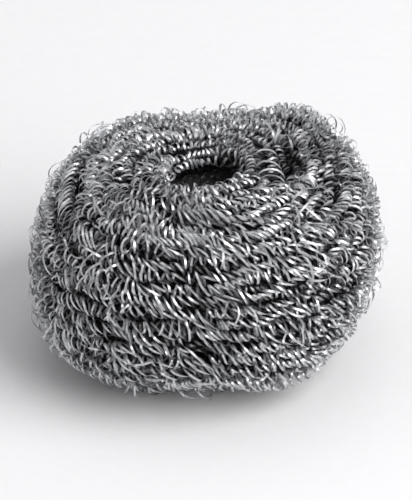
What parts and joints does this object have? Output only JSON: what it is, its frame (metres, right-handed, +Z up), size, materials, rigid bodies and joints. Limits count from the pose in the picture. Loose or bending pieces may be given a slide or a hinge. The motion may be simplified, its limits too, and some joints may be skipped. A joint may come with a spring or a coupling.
{
  "type": "stainless steel wire scourer",
  "caption": "Ball of curled flat steel wire for scouring pans, wound in rows round a small hollow in its top, with a flat patch underneath.",
  "frame": {"origin": "middle of the ball's plan, at the height of the flat patch it stands on", "axes": "+Z up through the hollow in the top, -Y towards the camera, +X to the right in the picture"},
  "size_m": [0.0804, 0.0788, 0.0495],
  "materials": {
    "steel_wire": "bright drawn ribbon wire, shiny on its flats and dark between its curls"
  },
  "bodies": {
    "root": {"wire_ball": "steel_wire"}
  },
  "joints": []
}
